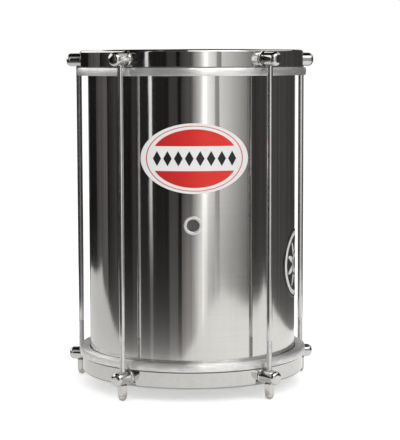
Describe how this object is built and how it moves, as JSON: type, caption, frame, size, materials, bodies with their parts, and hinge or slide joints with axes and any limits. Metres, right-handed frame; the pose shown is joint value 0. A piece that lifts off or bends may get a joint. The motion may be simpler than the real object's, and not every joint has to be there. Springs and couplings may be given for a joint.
{
  "type": "samba drum",
  "caption": "Deep metal-shelled drum with a head at each end, held between rolled-edge hoops that through rods and domed nuts draw together.",
  "frame": {"origin": "centre of the batter head's playing face, on the drum's axis", "axes": "+Z along the drum's axis, out of the batter head; the front with the badge faces -Y; +X is to the right seen from the front"},
  "size_m": [0.3685, 0.3593, 0.4875],
  "materials": {
    "polished_aluminium": "polished, with fine horizontal brushing",
    "chromed_brass": "bright",
    "badge_enamel": "gloss enamel on thin metal",
    "decal_film": "gloss film",
    "head_film": "milky polyester film, slightly frosted",
    "satin_aluminium": "satin, rolled",
    "chromed_steel": "mirror bright",
    "chromed_lug": "mirror bright, turned",
    "plated_rod": "bright zinc, drawn, threaded lower end",
    "chromed_nut": "bright nickel"
  },
  "bodies": {
    "shell": {"shell": "polished_aluminium", "vent_eyelet": "chromed_brass", "badge": "badge_enamel", "side_decal": "decal_film", "top_skin": "head_film", "bottom_skin": "head_film"},
    "top_hoop": {"top_hoop": "chromed_steel", "top_flesh_hoop": "satin_aluminium", "top_barrel_1": "chromed_lug", "top_barrel_2": "chromed_lug", "top_barrel_3": "chromed_lug", "top_barrel_4": "chromed_lug", "top_barrel_5": "chromed_lug", "rod_1": "plated_rod", "rod_2": "plated_rod", "rod_3": "plated_rod", "rod_4": "plated_rod", "rod_5": "plated_rod"},
    "bottom_hoop": {"bottom_hoop": "chromed_steel", "bottom_flesh_hoop": "satin_aluminium", "bottom_barrel_1": "chromed_lug", "bottom_barrel_2": "chromed_lug", "bottom_barrel_3": "chromed_lug", "bottom_barrel_4": "chromed_lug", "bottom_barrel_5": "chromed_lug"},
    "nut_1": {"nut_1": "chromed_nut"},
    "nut_2": {"nut_2": "chromed_nut"},
    "nut_3": {"nut_3": "chromed_nut"},
    "nut_4": {"nut_4": "chromed_nut"},
    "nut_5": {"nut_5": "chromed_nut"}
  },
  "joints": [
    {"name": "bottom_hoop_draw", "type": "slide", "parent": "shell", "child": "bottom_hoop", "axis": [0, 0, 1], "range_m": [-0.00375, 0.00125]},
    {"name": "top_hoop_draw", "type": "slide", "parent": "shell", "child": "top_hoop", "axis": [0, 0, 1], "range_m": [-0.00125, 0.00375]},
    {"name": "nut_1_turn", "type": "hinge", "parent": "bottom_hoop", "child": "nut_1", "pos_m": [-0.09758, -0.14467, -0.45625], "axis": [0, 0, 1], "range_deg": [-2160, 720]},
    {"name": "nut_2_turn", "type": "hinge", "parent": "bottom_hoop", "child": "nut_2", "pos_m": [0.10743, -0.13751, -0.45625], "axis": [0, 0, 1], "range_deg": [-2160, 720]},
    {"name": "nut_3_turn", "type": "hinge", "parent": "bottom_hoop", "child": "nut_3", "pos_m": [0.16398, 0.05968, -0.45625], "axis": [0, 0, 1], "range_deg": [-2160, 720]},
    {"name": "nut_4_turn", "type": "hinge", "parent": "bottom_hoop", "child": "nut_4", "pos_m": [-0.00609, 0.17439, -0.45625], "axis": [0, 0, 1], "range_deg": [-2160, 720]},
    {"name": "nut_5_turn", "type": "hinge", "parent": "bottom_hoop", "child": "nut_5", "pos_m": [-0.16774, 0.0481, -0.45625], "axis": [0, 0, 1], "range_deg": [-2160, 720]}
  ],
  "couplings": [
    {"joint": "top_hoop_draw", "follows": "bottom_hoop_draw", "ratio": -1},
    {"joint": "nut_1_turn", "follows": "bottom_hoop_draw", "rad_per_m": 10053},
    {"joint": "nut_2_turn", "follows": "bottom_hoop_draw", "rad_per_m": 10053},
    {"joint": "nut_3_turn", "follows": "bottom_hoop_draw", "rad_per_m": 10053},
    {"joint": "nut_4_turn", "follows": "bottom_hoop_draw", "rad_per_m": 10053},
    {"joint": "nut_5_turn", "follows": "bottom_hoop_draw", "rad_per_m": 10053}
  ]
}
